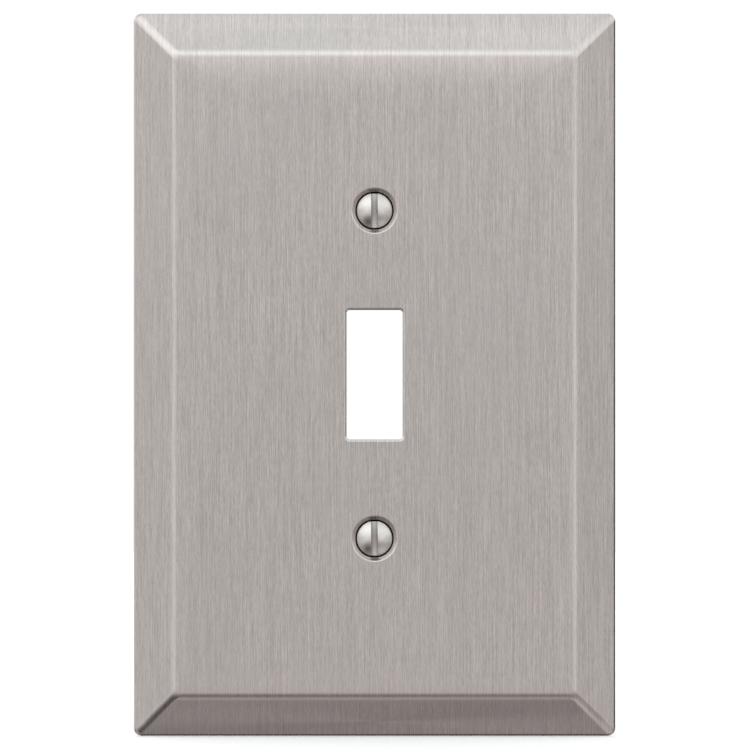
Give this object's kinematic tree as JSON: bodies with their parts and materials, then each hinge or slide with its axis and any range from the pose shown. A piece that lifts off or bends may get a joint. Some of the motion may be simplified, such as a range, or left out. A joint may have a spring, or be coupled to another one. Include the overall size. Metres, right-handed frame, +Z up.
{
  "type": "toggle switch wall plate",
  "caption": "Bevelled brushed-metal cover plate with a rectangular opening for a toggle switch and oval-head screws in round dimples.",
  "frame": {"origin": "centre of the back plane, where the rim rests on the wall, midway between the two screws", "axes": "+Z up along the plate's height, +Y into the wall, +X to the right as seen from the room; the face looks along -Y"},
  "size_m": [0.0888, 0.0138, 0.1334],
  "materials": {
    "nickel_plate": "satin, brushed along the height",
    "nickel_screws": "semi-bright"
  },
  "bodies": {
    "plate": {"wall_plate": "nickel_plate"},
    "upper_screw": {"upper_screw": "nickel_screws"},
    "lower_screw": {"lower_screw": "nickel_screws"}
  },
  "joints": [
    {"name": "upper_screw_turn", "type": "hinge", "parent": "plate", "child": "upper_screw", "pos_m": [0, 0, 0.03016], "axis": [0, 1, 0], "continuous": true},
    {"name": "lower_screw_turn", "type": "hinge", "parent": "plate", "child": "lower_screw", "pos_m": [0, 0, -0.03016], "axis": [0, 1, 0], "continuous": true}
  ]
}
